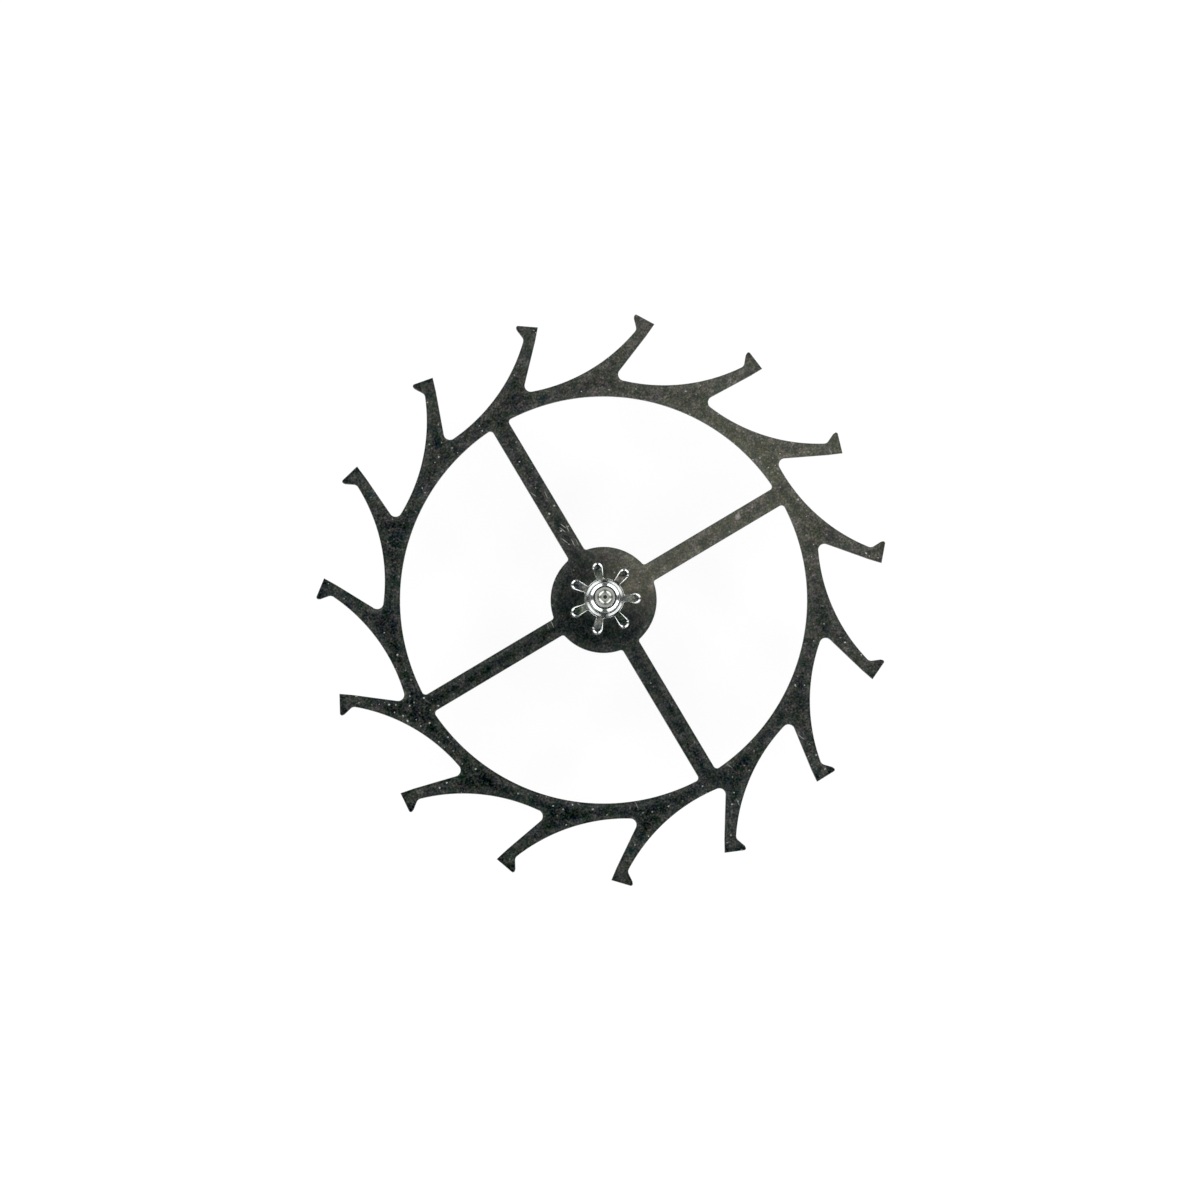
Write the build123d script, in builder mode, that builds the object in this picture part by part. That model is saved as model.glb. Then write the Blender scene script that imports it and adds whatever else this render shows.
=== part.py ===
from build123d import *
from math import atan2, cos, degrees, hypot, radians, sin, sqrt
import os

# Escape wheel and pinion of a small lever-escapement watch, in millimetres and degrees.
# The real thing is two pieces of steel. The wheel is a flat blank with club-shaped
# teeth round its rim, straight arms and a round hub. The pinion is one turned piece:
# two pivots, the arbor, the leaves that the fourth wheel drives, and a seat on which
# the wheel is pressed. The edge of the seat is spread into the wheel's countersink,
# so the two turn as one.
# The frame: +Z runs along the arbor from the wheel towards the leaves, +X along the
# first arm, and the origin is on the axis at the shoulder of the lower pivot.
# Seen from +Z the wheel turns clockwise, and its teeth lean that way.

# Wheel blank
tooth_count = 15
arm_count = 4
heel_diameter = 4.615  # across the sharp heel corners, so 4.60 over the rounded ones
tooth_height = 0.552  # from the sharp heel corners in to the root circle
rim_width = 0.126  # from the root circle in to the windows, where the rim is thinnest
wheel_thickness = 0.12
arm_width = 0.15
hub_diameter = 0.85
rim_corner_radius = 0.03  # in each window, where an arm meets the rim
hub_corner_radius = 0.024  # in each window, where an arm meets the hub
heel_turn = 5.07  # from the first arm round to the nearest heel

# Club of one tooth, from its heel forwards and then backwards
impulse_length = 0.182  # from the sharp heel corner to the locking corner
impulse_angle = 22.3  # the impulse face, from the tangent at the heel
draw_angle = 24.5  # the locking face, from the radius at the locking corner
locking_length = 0.112  # of the locking face, before the relief behind it
relief_angle = 27.2  # the relieved front of the stem, from the same radius
heel_land = 0.04  # the short face that runs in from the heel, along the radius
club_back_length = 0.091  # from the heel land to the neck
club_back_angle = 20.2  # the back of the club, from the radius at the heel
back_run_share = 0.893  # of a tooth pitch: how far behind its heel the back meets the root circle
heel_radius = 0.016
neck_radius = 0.044
root_radius = 0.05

# Leaves of the pinion
leaf_count = 7
leaf_diameter = 0.582  # over the leaf tips
leaf_root_diameter = 0.316
leaf_half_angle = 9.5  # of one leaf, seen from the axis
leaf_root_fillet = 0.014
leaf_length = 0.85
leaf_edge_width = 0.008  # of the broken edge round the upper leaf faces
leaf_edge_drop = 0.0043  # so that it leans 28 degrees, like the slopes on the arbor
leaf_turn = 20.6  # from the first arm round to the nearest leaf

# Arbor and pivots
arbor_diameter = 0.236
lower_arbor_length = 0.42  # from the lower shoulder to the back of the wheel
upper_arbor_length = 0.41  # from the leaf faces to the upper shoulder
shoulder_slope_width = 0.024  # of the slope round each shoulder
shoulder_slope_drop = 0.013
pivot_diameter = 0.156
pivot_length = 0.23
pivot_dome = 0.045  # height of the rounded end
sink_width = 0.03  # of the turned hollow round the arbor's foot, in the leaf faces
sink_floor_width = 0.004
sink_depth = 0.014

# Seat and rivet
seat_diameter = 0.3  # also of the wheel's hole, which is pressed on it
rivet_flare = 0.03  # how far the seat's edge is spread, and the depth of the countersink
rivet_stand = 0.015  # how far the spread edge stands behind the wheel

overrun = 0.05  # past the faces that a cut goes through
same_circle_share = 0.000001  # of a radius: corners this near a circle lie on it

# Levels along the axis
lower_tip = -pivot_length
wheel_back = lower_arbor_length
wheel_front = wheel_back + wheel_thickness
leaf_face = wheel_front + leaf_length
upper_shoulder = leaf_face + upper_arbor_length
upper_tip = upper_shoulder + pivot_length
rivet_face = wheel_back - rivet_stand

# Radii that follow from the sizes above
heel_circle = heel_diameter / 2
root_circle = heel_circle - tooth_height
window_circle = root_circle - rim_width
hub_circle = hub_diameter / 2
leaf_circle = leaf_diameter / 2
leaf_root_circle = leaf_root_diameter / 2
arbor_radius = arbor_diameter / 2
pivot_radius = pivot_diameter / 2
seat_radius = seat_diameter / 2
rivet_radius = seat_radius + rivet_flare

tooth_pitch = 360 / tooth_count


def ray(angle):
    """Unit vector at an angle from +X, in the plane of the wheel."""
    return Vector(cos(radians(angle)), sin(radians(angle)))


def front_slope(locking, angle):
    """Unit vector inwards along a tooth's front, at an angle from the radius at its locking corner."""
    return ray(degrees(atan2(locking.Y, locking.X)) + 180 - angle)


def front_corners(heel_angle):
    """Heel, locking corner and relief corner of the tooth whose heel is at an angle."""
    heel = ray(heel_angle) * heel_circle
    locking = heel + ray(heel_angle - 90 - impulse_angle) * impulse_length
    relief = locking + front_slope(locking, draw_angle) * locking_length
    return heel, locking, relief


def back_corners(heel_angle):
    """Neck and inner end of the heel land, on the back of the tooth whose heel is at an angle."""
    land_end = ray(heel_angle) * (heel_circle - heel_land)
    neck = land_end + ray(heel_angle + 180 + club_back_angle) * club_back_length
    return neck, land_end


def curved_back(heel_angle):
    """Centre and radius of the arc from a tooth's neck down to the root circle, which it touches."""
    outwards = ray(heel_angle + back_run_share * tooth_pitch)
    lowest = outwards * root_circle
    neck, _ = back_corners(heel_angle)
    chord = neck - lowest
    radius = chord.dot(chord) / (2 * chord.dot(outwards))
    return lowest + outwards * radius, radius


def root_corner(heel_angle):
    """Where the relieved front of a tooth meets the curved back of the tooth ahead of it."""
    _, locking, relief = front_corners(heel_angle)
    inwards = front_slope(locking, relief_angle)
    centre, radius = curved_back(heel_angle - tooth_pitch)
    to_centre = centre - relief
    nearest = to_centre.dot(inwards)
    half_chord = sqrt(radius**2 - to_centre.dot(to_centre) + nearest**2)
    return relief + inwards * (nearest + half_chord)


def tooth_and_gap(heel_angle):
    """Outline from one heel, down the front of its tooth and up the back of the next, to the next heel."""
    heel, locking, relief = front_corners(heel_angle)
    root = root_corner(heel_angle)
    centre, radius = curved_back(heel_angle - tooth_pitch)
    neck, land_end = back_corners(heel_angle - tooth_pitch)
    next_heel, _, _ = front_corners(heel_angle - tooth_pitch)
    middle = centre + ((root + neck) / 2 - centre).normalized() * radius
    Polyline(heel, locking, relief, root)
    ThreePointArc(root, middle, neck)
    Polyline(neck, land_end, next_heel)


def on_circle(vertices, radius):
    """The vertices that lie on a circle about the axis."""
    slack = radius * same_circle_share
    return vertices.filter_by(lambda corner: abs(hypot(corner.X, corner.Y) - radius) < slack)


# Toothed wheel
with BuildPart() as escape_wheel:
    with BuildSketch(Plane.XY.offset(wheel_back)) as blank:
        with BuildLine():
            for tooth in range(tooth_count):
                tooth_and_gap(heel_turn - tooth * tooth_pitch)
        make_face()
        fillet(on_circle(blank.vertices(), root_corner(0).length), root_radius)
        fillet(on_circle(blank.vertices(), back_corners(0)[0].length), neck_radius)
        fillet(on_circle(blank.vertices(), heel_circle), heel_radius)
    extrude(amount=wheel_thickness)

    with BuildSketch(Plane.XY.offset(wheel_back)) as windows:
        Circle(window_circle)
        Circle(hub_circle, mode=Mode.SUBTRACT)
        with PolarLocations(root_circle / 2, arm_count):
            Rectangle(root_circle, arm_width, mode=Mode.SUBTRACT)
        fillet(on_circle(windows.vertices(), window_circle), rim_corner_radius)
        fillet(on_circle(windows.vertices(), hub_circle), hub_corner_radius)
    extrude(amount=wheel_thickness, mode=Mode.SUBTRACT)

    with Locations(Location((0, 0, wheel_back), (180, 0, 0))):
        CounterSinkHole(seat_radius, rivet_radius, wheel_thickness, counter_sink_angle=90)

# One leaf of the pinion, from the axis out, with straight flanks and a half-round tip
tip_centre = leaf_circle / (1 + sin(radians(leaf_half_angle)))
tip_start = tip_centre * cos(radians(leaf_half_angle))
with BuildSketch() as leaf:
    with BuildLine():
        upper_flank = Line((0, 0), ray(leaf_half_angle) * tip_start)
        lower_flank = Line((0, 0), ray(-leaf_half_angle) * tip_start)
        ThreePointArc(upper_flank @ 1, (leaf_circle, 0), lower_flank @ 1)
    make_face()

# Pinion
with BuildPart() as escape_pinion:
    with BuildSketch(Plane.XY.offset(wheel_front)) as leaves:
        Circle(leaf_root_circle)
        with PolarLocations(0, leaf_count, leaf_turn):
            add(leaf.sketch)
        fillet(on_circle(leaves.vertices(), leaf_root_circle), leaf_root_fillet)
    extrude(amount=leaf_length)
    leaf_tops = escape_pinion.faces().sort_by(Axis.Z)[-1]
    chamfer(leaf_tops.edges(), leaf_edge_width, leaf_edge_drop, reference=leaf_tops)

    with BuildSketch(Plane.XZ) as sink:
        with BuildLine():
            Polyline(
                (0, leaf_face + overrun),
                (0, leaf_face - sink_depth),
                (arbor_radius + sink_floor_width, leaf_face - sink_depth),
                (arbor_radius + sink_width, leaf_face),
                (arbor_radius + sink_width, leaf_face + overrun),
                close=True,
            )
        make_face()
    revolve(axis=Axis.Z, mode=Mode.SUBTRACT)

    with BuildSketch(Plane.XZ) as turned:
        with BuildLine():
            lower_end = TangentArc((0, lower_tip), (pivot_radius, lower_tip + pivot_dome), tangent=(1, 0))
            upper_end = TangentArc((0, upper_tip), (pivot_radius, upper_tip - pivot_dome), tangent=(1, 0))
            Polyline(
                lower_end @ 1,
                (pivot_radius, 0),
                (arbor_radius - shoulder_slope_width, 0),
                (arbor_radius, shoulder_slope_drop),
                (arbor_radius, rivet_face),
                (rivet_radius, rivet_face),
                (rivet_radius, wheel_back),
                (seat_radius, wheel_back + rivet_flare),
                (seat_radius, wheel_front),
                (arbor_radius, wheel_front),
                (arbor_radius, upper_shoulder - shoulder_slope_drop),
                (arbor_radius - shoulder_slope_width, upper_shoulder),
                (pivot_radius, upper_shoulder),
                upper_end @ 1,
            )
            Line(lower_end @ 0, upper_end @ 0)
        make_face()
    revolve(axis=Axis.Z)

os.makedirs("parts", exist_ok=True)
escape_wheel.part.label = "escape_wheel"
export_step(escape_wheel.part, "parts/escape_wheel.step")
escape_pinion.part.label = "escape_pinion"
export_step(escape_pinion.part, "parts/escape_pinion.step")
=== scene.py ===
# %% [markdown]
# # The escape wheel of a small watch
#
# The escape wheel is the last wheel of a watch's train. Its club-shaped teeth push the
# pallets that keep the balance swinging. It is two pieces of steel: a flat wheel, ground
# and polished until it looks black, and a bright turned pinion with seven leaves.
# The whole thing is 4.6 mm across, so most of the work here is in very clean outlines
# and in how the two steels catch the light.

# %% Load the frame
from math import asin, atan2, ceil, cos, degrees, pi, radians, sin, sqrt, tan

import bmesh
import bpy
from mathutils import Matrix, Vector
from mathutils.geometry import tessellate_polygon


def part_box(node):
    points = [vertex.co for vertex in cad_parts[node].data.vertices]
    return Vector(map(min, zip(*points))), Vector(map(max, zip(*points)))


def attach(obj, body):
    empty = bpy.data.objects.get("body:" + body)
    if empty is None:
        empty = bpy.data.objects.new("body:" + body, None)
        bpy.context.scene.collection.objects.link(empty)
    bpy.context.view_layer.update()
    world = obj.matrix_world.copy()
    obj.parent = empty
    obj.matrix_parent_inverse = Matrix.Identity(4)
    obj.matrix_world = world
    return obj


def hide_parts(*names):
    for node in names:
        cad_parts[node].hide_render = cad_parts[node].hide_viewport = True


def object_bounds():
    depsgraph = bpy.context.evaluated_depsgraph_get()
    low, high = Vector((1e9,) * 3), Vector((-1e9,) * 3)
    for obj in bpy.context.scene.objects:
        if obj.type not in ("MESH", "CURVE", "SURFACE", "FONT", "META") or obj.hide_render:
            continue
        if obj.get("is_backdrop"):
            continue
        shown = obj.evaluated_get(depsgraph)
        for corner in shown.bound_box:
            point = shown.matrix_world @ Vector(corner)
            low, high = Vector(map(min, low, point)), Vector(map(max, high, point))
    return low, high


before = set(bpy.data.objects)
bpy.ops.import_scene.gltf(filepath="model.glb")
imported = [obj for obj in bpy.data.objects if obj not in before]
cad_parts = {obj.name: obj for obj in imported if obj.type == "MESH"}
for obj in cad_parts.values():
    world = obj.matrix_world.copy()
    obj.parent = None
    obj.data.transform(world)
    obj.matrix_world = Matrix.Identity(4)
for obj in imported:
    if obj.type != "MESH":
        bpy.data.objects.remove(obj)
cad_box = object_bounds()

print("nodes of the working model:", ", ".join(sorted(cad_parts)))

# %% [markdown]
# ## Working in millimetres
#
# Blender's unit is the metre, and some of its mesh tools treat points closer than a few
# hundredths of a millimetre as one point. So the meshes are built in millimetres, and
# only the finished mesh is scaled down. The heights are read from the frame, so the
# pieces sit exactly where the working model has them.

# %% Heights, from the frame
MM = 0.001  # metres

wheel_low, wheel_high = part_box("escape_wheel")
pinion_low, pinion_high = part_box("escape_pinion")
wheel_back = wheel_low[2] / MM
wheel_front = wheel_high[2] / MM
lower_tip = pinion_low[2] / MM
upper_tip = pinion_high[2] / MM
print(f"wheel from {wheel_back:.3f} to {wheel_front:.3f} mm along the axis")
print(f"pivots from {lower_tip:.3f} to {upper_tip:.3f} mm")

# %% [markdown]
# ## Points of an outline
#
# An outline is a list of points walked one way round, always with the metal on its
# right. Straight faces need only their ends. Arcs get a point every few degrees, close
# enough together that the renderer never shows a corner between them.

# %% Rays, arcs and insets
CENTRE = Vector((0, 0))
arc_step = 2  # degrees from point to point, on a long arc
fillet_step = 8  # on a fillet
corner_step = 10  # on a rounded corner


def ray(angle):
    """Unit vector at an angle in degrees from +X."""
    return Vector((cos(radians(angle)), sin(radians(angle))))


def left_of(direction):
    """The direction a quarter turn to the left."""
    return Vector((-direction.y, direction.x))


def arc(centre, start, end, step=arc_step):
    """Points along an arc about a centre, the short way round: both ends and at least one between."""
    arm = start - centre
    last = end - centre
    turn = atan2(arm.x * last.y - arm.y * last.x, arm.dot(last))
    steps = max(2, ceil(abs(degrees(turn)) / step))
    return [centre + Matrix.Rotation(turn * i / steps, 2) @ arm for i in range(steps + 1)]


def circle(radius, count):
    """Points round a hole, walked with the metal outside it on the right."""
    return [ray(360 * i / count) * radius for i in range(count)]


def rounded(corner, towards_start, towards_end, radius, step=corner_step):
    """The arc that rounds a corner between two straight sides, from the first side to the second."""
    half = towards_start.angle(towards_end) / 2
    centre = corner + (towards_start + towards_end).normalized() * (radius / sin(half))
    reach = radius / tan(half)
    return arc(centre, corner + towards_start * reach, corner + towards_end * reach, step)


def inset(points, distance, shares=None):
    """The outline moved into the metal, with mitred corners. shares scales the distance point by point."""
    moved = []
    for i, point in enumerate(points):
        coming = -left_of((point - points[i - 1]).normalized())
        going = -left_of((points[(i + 1) % len(points)] - point).normalized())
        share = shares[i] if shares else 1
        moved.append(point + (coming + going) * (distance * share / (1 + coming.dot(going))))
    return moved


print(f"a quarter circle takes {len(arc(CENTRE, ray(0), ray(90)))} points")

# %% [markdown]
# ## One club tooth
#
# The tooth is drawn as a watchmaker measures it: a sloping impulse face from the heel to
# the locking corner, a locking face drawn back 24.5 degrees from the radius, a slightly
# more relieved stem behind it, and one long arc for the curved back of the next tooth.
# The corners are found by geometry and rounded with small arcs, because a traced list of
# points would never be this smooth.

# %% Sizes of the teeth
tooth_count = 15
tooth_pitch = 360 / tooth_count
heel_turn = 5.07  # from the first arm round to the nearest heel
heel_circle = 2.3075  # through the sharp heel corners
tooth_height = 0.552
root_circle = heel_circle - tooth_height
impulse_length = 0.182
impulse_angle = 22.3  # from the tangent at the heel
draw_angle = 24.5  # from the radius at the locking corner
locking_length = 0.112
relief_angle = 27.2  # from the same radius
heel_land = 0.04  # the short face that runs in from the heel
club_back_length = 0.091
club_back_angle = 20.2  # from the radius at the heel
back_run_share = 0.893  # of the pitch: how far behind its heel the back meets the root circle
heel_radius = 0.016
neck_radius = 0.044
root_radius = 0.05
print(f"a tooth every {tooth_pitch:.0f} degrees, from {root_circle:.3f} to {heel_circle:.3f} mm off the axis")

# %% [markdown]
# Each corner follows from the one before it: a known length from the heel in a known
# direction, and there is the next. The curved back is the one circle that passes through
# the neck and touches the root circle at its lowest point.

# %% Corners of a tooth
def front_slope(locking, angle):
    """Inwards along a tooth's front, at an angle from the radius at its locking corner."""
    return ray(degrees(atan2(locking.y, locking.x)) + 180 - angle)


def front_corners(heel_angle):
    """Heel, locking corner and relief corner of a tooth."""
    heel = ray(heel_angle) * heel_circle
    locking = heel + ray(heel_angle - 90 - impulse_angle) * impulse_length
    return heel, locking, locking + front_slope(locking, draw_angle) * locking_length


def back_corners(heel_angle):
    """Neck and inner end of the short land behind the heel."""
    land_end = ray(heel_angle) * (heel_circle - heel_land)
    return land_end + ray(heel_angle + 180 + club_back_angle) * club_back_length, land_end


def curved_back(heel_angle):
    """Centre and radius of the arc from the neck down to the root circle, which it touches."""
    outwards = ray(heel_angle + back_run_share * tooth_pitch)
    lowest = outwards * root_circle
    chord = back_corners(heel_angle)[0] - lowest
    radius = chord.length_squared / (2 * chord.dot(outwards))
    return lowest + outwards * radius, radius


print(f"locking corners {front_corners(heel_turn)[1].length:.3f} mm from the axis")

# %% [markdown]
# Between two teeth the outline is one smooth hollow. A fillet at its foot leads from the
# relieved stem into the curved back, and another leads from that back into the club.
# Both touch the long arc from inside, so their centres lie on a smaller circle about
# the centre of that arc.

# %% Outline of a tooth
def fillet_centre(point, along, side, centre, radius, fillet):
    """Centre of the fillet between a straight face and the curved back that it runs out to."""
    start = point + side * fillet
    to_centre = centre - start
    nearest = to_centre.dot(along)
    half_chord = sqrt((radius - fillet) ** 2 - to_centre.length_squared + nearest**2)
    return start + along * (nearest + half_chord)


def heel_arc(heel_angle):
    """The rounded heel, from the end of the land to the impulse face."""
    heel, locking, _ = front_corners(heel_angle)
    return rounded(heel, -ray(heel_angle), (locking - heel).normalized(), heel_radius)


def tooth_and_gap(heel_angle):
    """From one locking corner, round the gap and up the back of the next tooth, to its heel."""
    _, locking, relief = front_corners(heel_angle)
    neck, land_end = back_corners(heel_angle - tooth_pitch)
    centre, radius = curved_back(heel_angle - tooth_pitch)
    down = front_slope(locking, relief_angle)
    up = (land_end - neck).normalized()
    root = fillet_centre(relief, down, left_of(down), centre, radius, root_radius)
    notch = fillet_centre(land_end, -up, left_of(up), centre, radius, neck_radius)
    root_end = centre + (root - centre).normalized() * radius
    notch_start = centre + (notch - centre).normalized() * radius
    return [
        locking,
        relief,
        *arc(root, root - left_of(down) * root_radius, root_end, fillet_step),
        *arc(centre, root_end, notch_start)[1:-1],
        *arc(notch, notch_start, notch - left_of(up) * neck_radius, fillet_step),
        land_end,
        *heel_arc(heel_angle - tooth_pitch),
    ]


print(f"{len(tooth_and_gap(heel_turn))} points to a tooth")

# %% [markdown]
# The rim is that stretch of outline fifteen times over, turned by one pitch each time.

# %% The whole rim
toothed_rim = [
    point for tooth in range(tooth_count) for point in tooth_and_gap(heel_turn - tooth * tooth_pitch)
]
across_heels = 2 * max(point.length for point in toothed_rim)
print(f"{tooth_count} teeth, {len(toothed_rim)} points, {across_heels:.3f} mm over the rounded heels")

# %% [markdown]
# ## The windows between the arms
#
# Four straight arms leave four windows. One window is worked out as half an outline
# beside an arm, and the other half is its mirror image about the window's middle, so
# both corners of an arm are rounded alike.

# %% Sizes and outline of a window
arm_count = 4
arm_half_width = 0.075
hub_circle = 0.425
rim_width = 0.126  # where it is thinnest, between two teeth
window_circle = root_circle - rim_width
rim_corner = 0.03  # radius of a window's corner beside the rim
hub_corner = 0.024


def along_arm(distance, offset):
    """The point beside the first arm at a distance from the axis, off its centre line."""
    return Vector((sqrt(distance**2 - offset**2), offset))


def window(turn):
    """Outline of the window that follows the arm at an angle."""
    hub_fillet = along_arm(hub_circle + hub_corner, arm_half_width + hub_corner)
    rim_fillet = along_arm(window_circle - rim_corner, arm_half_width + rim_corner)
    on_hub, on_rim = hub_fillet.normalized() * hub_circle, rim_fillet.normalized() * window_circle
    beside = arc(hub_fillet, on_hub, hub_fillet - Vector((0, hub_corner)), fillet_step)
    beside += arc(rim_fillet, rim_fillet - Vector((0, rim_corner)), on_rim, fillet_step)
    middle = ray(180 / arm_count)
    mirrored = [middle * (2 * point.dot(middle)) - point for point in reversed(beside)]
    loop = beside + arc(CENTRE, beside[-1], mirrored[0])[1:-1]
    loop += mirrored + arc(CENTRE, mirrored[-1], beside[0])[1:-1]
    return [Matrix.Rotation(radians(turn), 2) @ point for point in loop]


windows = [window(arm * 360 / arm_count) for arm in range(arm_count)]
print(f"{len(windows)} windows of {len(windows[0])} points")

# %% [markdown]
# ## Walls and caps
#
# A flat piece is its outline carried through a few levels: in at the back face, out to
# full size round the broken edge, up the wall and in again at the front. The levels are
# joined by bands of quads. Each face is then closed by one cap, cut into triangles round
# its holes. The caps are shaded flat, because long triangles shaded smooth would tilt
# the reflections on a face that is flat.

# %% Rings, walls and caps
def add_ring(mesh, points, height):
    """One vertex for each point of an outline, all at one height."""
    return [mesh.verts.new((point.x, point.y, height)) for point in points]


def join_rings(mesh, lower, upper, material):
    """A band of quads between two rings of the same outline."""
    for i in range(len(lower)):
        quad = mesh.faces.new((lower[i - 1], lower[i], upper[i], upper[i - 1]))
        quad.material_index = material
        quad.smooth = True


def wall(mesh, outline, levels, material):
    """Carries an outline through (height, inset) levels, and returns its first and last ring."""
    rings = [add_ring(mesh, inset(outline, depth), height) for height, depth in levels]
    for lower, upper in zip(rings, rings[1:]):
        join_rings(mesh, lower, upper, material)
    return rings[0], rings[-1]


def cap(mesh, rings, material):
    """A flat face bounded by a ring, with the other rings as its holes."""
    corners = [corner for ring in rings for corner in ring]
    for triangle in tessellate_polygon([[corner.co for corner in ring] for ring in rings]):
        face = mesh.faces.new([corners[i] for i in triangle])
        face.material_index = material


# %% [markdown]
# Smooth shading blends the directions of neighbouring bands, and over a long band that
# blend would show. So every rounded corner is held by one more ring just beside it, and
# the long band beyond is lit as straight as it is.

# %% Broken edges
edge_steps = 4  # from a face round to the wall
hold = 0.0005  # from a rounded corner to the ring that holds it


def broken_edge(face_height, size, direction):
    """Levels of a rounded edge, from a face out to the wall. direction is 1 up, -1 down from the face."""
    turns = [radians(90 * i / edge_steps) for i in range(edge_steps + 1)]
    levels = [(face_height + direction * size * (1 - cos(a)), size * (1 - sin(a))) for a in turns]
    return levels + [(face_height + direction * (size + hold), 0)]


print(f"{len(broken_edge(0, 1, 1))} levels to a broken edge")

# %% [markdown]
# A finished mesh is checked for open edges, scaled down to metres, and made into an
# object with its materials. The edges where it bends sharply are marked hard. That call
# also smooths every face, so the flat caps are set back after it.

# %% From mesh to object
sharpest_bend = 25  # degrees: faces that meet at more than this keep a hard edge
same_point = 0.00001  # mm: points nearer than this are merged


def make_piece(mesh, name, materials):
    """Turns the finished millimetre mesh into an object in metres."""
    bmesh.ops.remove_doubles(mesh, verts=mesh.verts, dist=same_point)
    bmesh.ops.recalc_face_normals(mesh, faces=mesh.faces)
    loose = sum(not edge.is_manifold for edge in mesh.edges)
    smooth = [face.smooth for face in mesh.faces]
    mesh.transform(Matrix.Scale(MM, 4))
    data = bpy.data.meshes.new(name)
    mesh.to_mesh(data)
    mesh.free()
    data.set_sharp_from_angle(angle=radians(sharpest_bend))
    data.polygons.foreach_set("use_smooth", smooth)
    for material in materials:
        data.materials.append(material)
    piece = bpy.data.objects.new(name, data)
    bpy.context.collection.objects.link(piece)
    print(f"{name}: {len(data.polygons)} faces, {loose} open edges")
    return piece


# %% [markdown]
# ## Colours and node trees
#
# Colours are picked as hex values, as a paint program gives them, and turned to the
# linear values that a renderer works in. One helper adds a node with its settings and
# its links, so that a material reads as a short list of steps. An input that is given
# a node takes that node's first output, and a colour ramp is given its stops.

# %% Material helpers
def hex_colour(code):
    """A hex sRGB colour as linear red, green, blue and alpha. The numbers are those of the sRGB curve."""
    channels = [int(code[i : i + 2], 16) / 255 for i in (1, 3, 5)]
    linear = [c / 12.92 if c <= 0.04045 else ((c + 0.055) / 1.055) ** 2.4 for c in channels]
    return (*linear, 1)


def add_node(tree, kind, inputs=None, stops=(), **settings):
    """Adds a node, sets its settings and colour stops, and fills or links its inputs."""
    node = tree.nodes.new(kind)
    for name, value in settings.items():
        setattr(node, name, value)
    for i, (position, code) in enumerate(stops):
        elements = node.color_ramp.elements
        element = elements[i] if i < len(elements) else elements.new(position)
        element.position, element.color = position, hex_colour(code)
    for name, value in (inputs or {}).items():
        source = value.outputs[0] if isinstance(value, bpy.types.Node) else value
        if isinstance(source, bpy.types.NodeSocket):
            tree.links.new(source, node.inputs[name])
        else:
            node.inputs[name].default_value = source
    return node


def new_material(name):
    """An empty material, with its tree and the object's own coordinates."""
    material = bpy.data.materials.new(name)
    material.use_nodes = True
    material.node_tree.nodes.clear()
    return material, material.node_tree, add_node(material.node_tree, "ShaderNodeTexCoord").outputs["Object"]


def distance_from_axis(tree, place):
    """The distance of a point from the axis."""
    flat = add_node(tree, "ShaderNodeVectorMath", {0: place, 1: (1, 1, 0)}, operation="MULTIPLY")
    return add_node(tree, "ShaderNodeVectorMath", {0: flat}, operation="LENGTH").outputs["Value"]


print(f"middle grey, #808080, is {hex_colour('#808080')[0]:.3f} of full light")

# %% [markdown]
# ## Lapped carbon steel, for the flat faces of the wheel
#
# Hardened carbon steel, tempered and then lapped flat on zinc with diamond paste. A
# flat polish throws all its light one way, and from anywhere else it looks nearly
# black, so that near-black is painted into its colour as a painted dark reflection. Up
# close it isn't even: the lap leaves a fine grain, tweezers scratch it and dust settles
# on it. A painted reflection, laid in as a film of tempering colour, turns one side
# olive, and a painted highlight runs along the edges. Each of these is one small group
# of nodes, and the material lays them over each other.
#
# First the grain. A fine noise and a blotchy one are added up and raised to a power, so
# that light spots stand out further than dark ones. The grain is mostly added to the
# colour, not multiplied with it, because the photograph shows it nearly as strong on the
# dark side of the wheel as on the olive one.

# %% Grain of the lap
grain_size = 0.014 * MM
blotch_size = 0.075 * MM
fine_share, blotch_share = 1.6, 0.8  # of the two noises, which both swing round a half
grain_power = 4  # the more, the fewer and the lighter the spots
hue_share, blotch_hue_share = 2.2, 0.8  # of the grain: how far a spot and a blotch stray from grey
lit_share = 0.25  # of the colour itself, added to the strength of the grain
print(f"grain of {grain_size / MM:.3f} mm on blotches of {blotch_size / MM:.3f} mm")


def add_grain(tree, colour, place, strength):
    """A colour with a fine grain of uneven hue, whose light spots stand out further than its dark ones."""
    fine = add_node(tree, "ShaderNodeTexNoise", {"Vector": place, "Scale": 1 / grain_size})
    blotch = add_node(tree, "ShaderNodeTexNoise", {"Vector": place, "Scale": 1 / blotch_size})
    centred = add_node(tree, "ShaderNodeMath", {
        0: blotch, 1: blotch_share, 2: 1 - (fine_share + blotch_share) / 2}, operation="MULTIPLY_ADD")
    both = add_node(tree, "ShaderNodeMath", {0: fine, 1: fine_share, 2: centred}, operation="MULTIPLY_ADD")
    peaks = add_node(tree, "ShaderNodeMath", {0: both, 1: grain_power}, operation="POWER")
    lift = add_node(tree, "ShaderNodeMath", {
        0: peaks, 1: 1 + (hue_share + blotch_hue_share) / 2}, operation="SUBTRACT")
    stain_and_shade = add_node(tree, "ShaderNodeVectorMath", {
        0: blotch.outputs["Color"], 1: (blotch_hue_share,) * 3, 2: lift}, operation="MULTIPLY_ADD")
    tinted = add_node(tree, "ShaderNodeVectorMath", {
        0: fine.outputs["Color"], 1: (hue_share,) * 3, 2: stain_and_shade}, operation="MULTIPLY_ADD")
    amount = add_node(tree, "ShaderNodeVectorMath", {
        0: colour, 1: (lit_share,) * 3, 2: strength}, operation="MULTIPLY_ADD")
    return add_node(tree, "ShaderNodeVectorMath", {0: amount, 1: tinted, 2: colour}, operation="MULTIPLY_ADD")


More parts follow.
